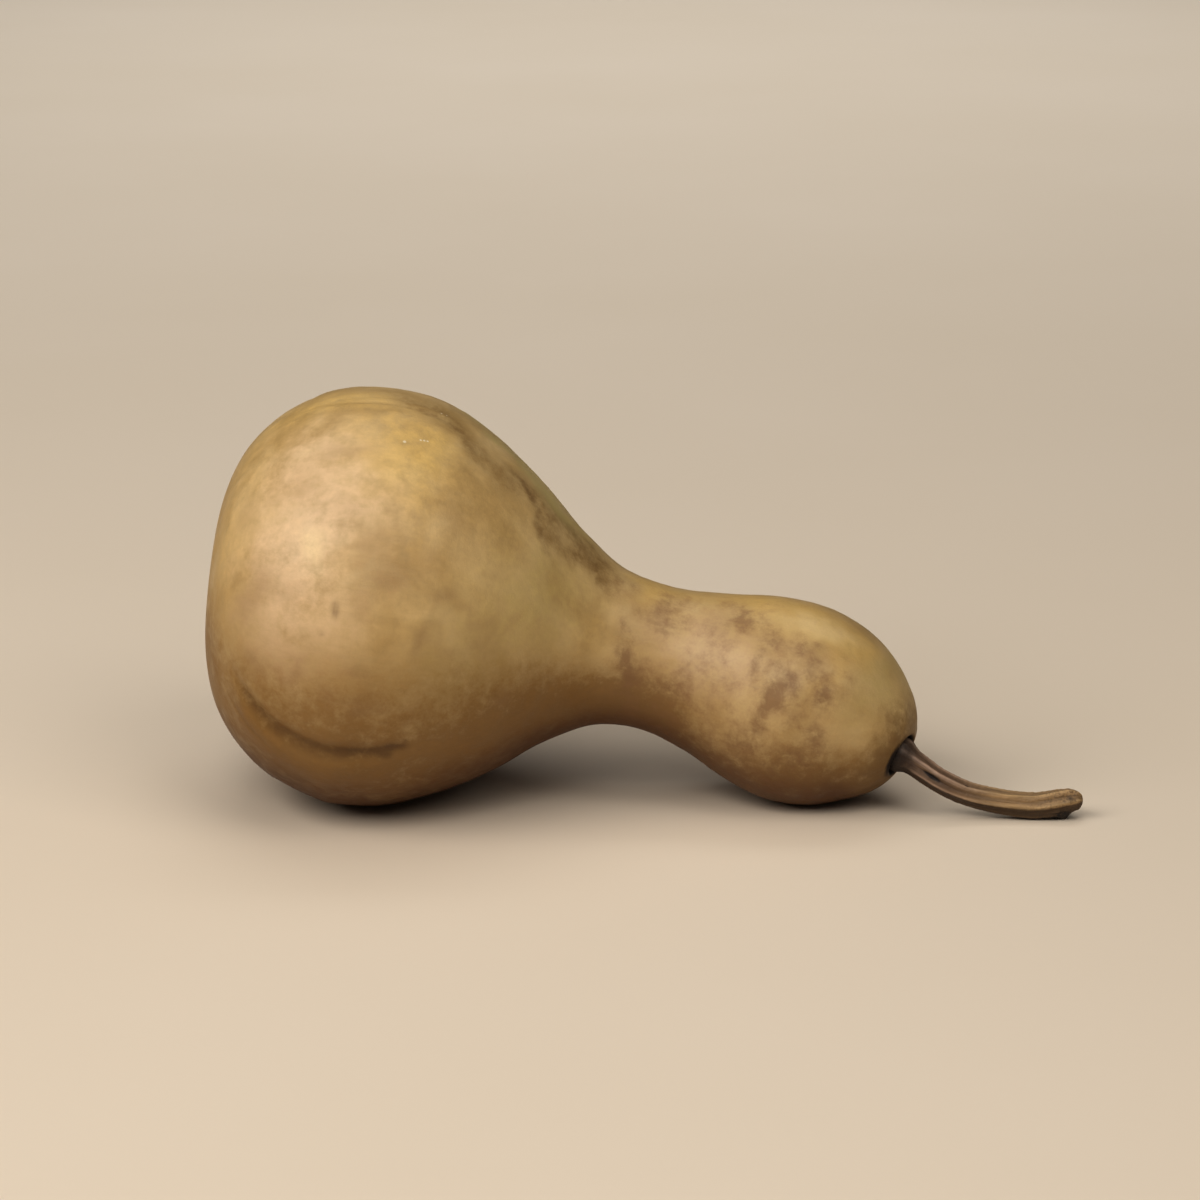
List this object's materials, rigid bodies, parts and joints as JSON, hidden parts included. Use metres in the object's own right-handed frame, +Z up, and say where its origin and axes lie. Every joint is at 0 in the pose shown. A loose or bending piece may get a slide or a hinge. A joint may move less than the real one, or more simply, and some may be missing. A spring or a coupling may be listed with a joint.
{
  "type": "dried bottle gourd",
  "caption": "Dried hourglass-shaped bottle gourd lying on its side, with a large bulb, a narrow waist, a small bulb and a bent woody stem.",
  "frame": {"origin": "on the surface that the gourd lies on, under the middle of its bounding box", "axes": "+Z up; +X from the blossom end to the stem's tip; the crease and the stem's tip are on the -Y side"},
  "size_m": [0.2445, 0.1168, 0.1161],
  "materials": {
    "rind": "satin",
    "stem_wood": "matte"
  },
  "bodies": {
    "root": {"gourd_body": "rind", "stem": "stem_wood"}
  },
  "joints": []
}
